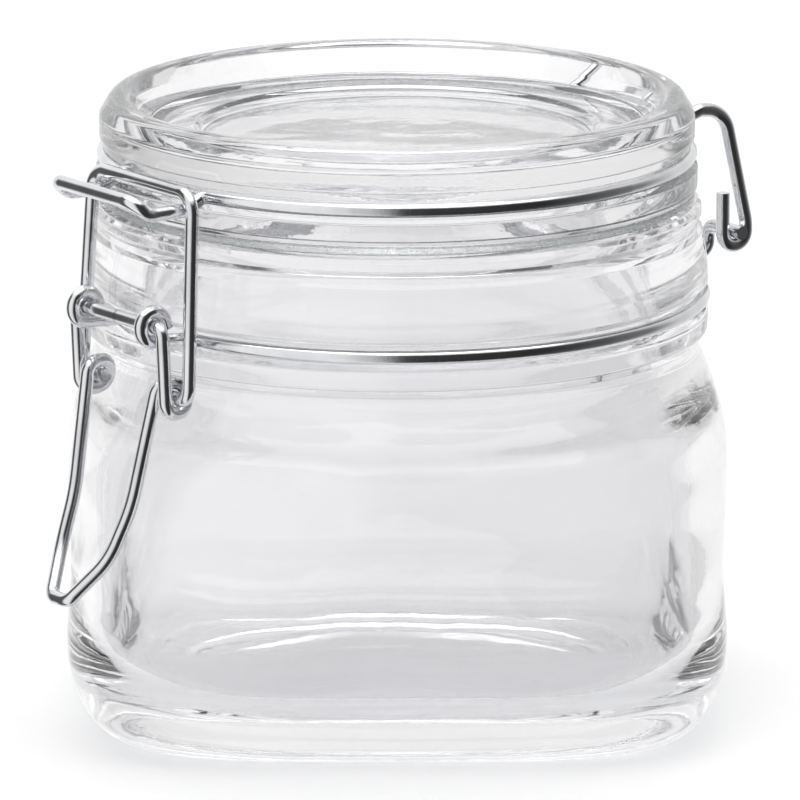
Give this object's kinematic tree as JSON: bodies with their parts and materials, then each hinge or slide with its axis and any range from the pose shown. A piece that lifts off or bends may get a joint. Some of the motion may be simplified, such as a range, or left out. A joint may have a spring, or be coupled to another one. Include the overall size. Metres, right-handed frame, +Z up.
{
  "type": "clip-top glass storage jar",
  "caption": "Square-bodied clear glass storage jar with a round neck, hinged glass lid, soft seal ring and an over-centre bent-wire clamp.",
  "frame": {"origin": "centre of the base on the standing plane, on the axis of the round neck", "axes": "+Z up along the neck's axis, -Y towards the latch, +Y towards the lid's hinge, +X along the hinge and lever axes"},
  "size_m": [0.1296, 0.1335, 0.1018],
  "materials": {
    "clear_glass": "clear, polished",
    "wire": "bright plated round wire",
    "seal": "translucent silicone, satin"
  },
  "bodies": {
    "jar_body": {"glass_jar": "clear_glass", "neck_hoop": "wire"},
    "lid_body": {"glass_lid": "clear_glass", "sealing_ring": "seal", "lid_hoop": "wire"},
    "lever_body": {"lever": "wire"},
    "bail_body": {"bail": "wire"}
  },
  "joints": [
    {"name": "lid_hinge", "type": "hinge", "parent": "jar_body", "child": "lid_body", "pos_m": [0, 0.0609, 0.0729], "axis": [-1, 0, 0], "range_deg": [0, 105]},
    {"name": "lever_pivot", "type": "hinge", "parent": "jar_body", "child": "lever_body", "pos_m": [0, -0.0556, 0.0713], "axis": [-1, 0, 0], "range_deg": [0, 140]},
    {"name": "bail_pivot", "type": "hinge", "parent": "lever_body", "child": "bail_body", "pos_m": [0, -0.0525, 0.0594], "axis": [-1, 0, 0], "range_deg": [-131.6, 0]}
  ],
  "couplings": [
    {"joint": "bail_pivot", "follows": "lever_pivot", "ratio": -0.94}
  ]
}
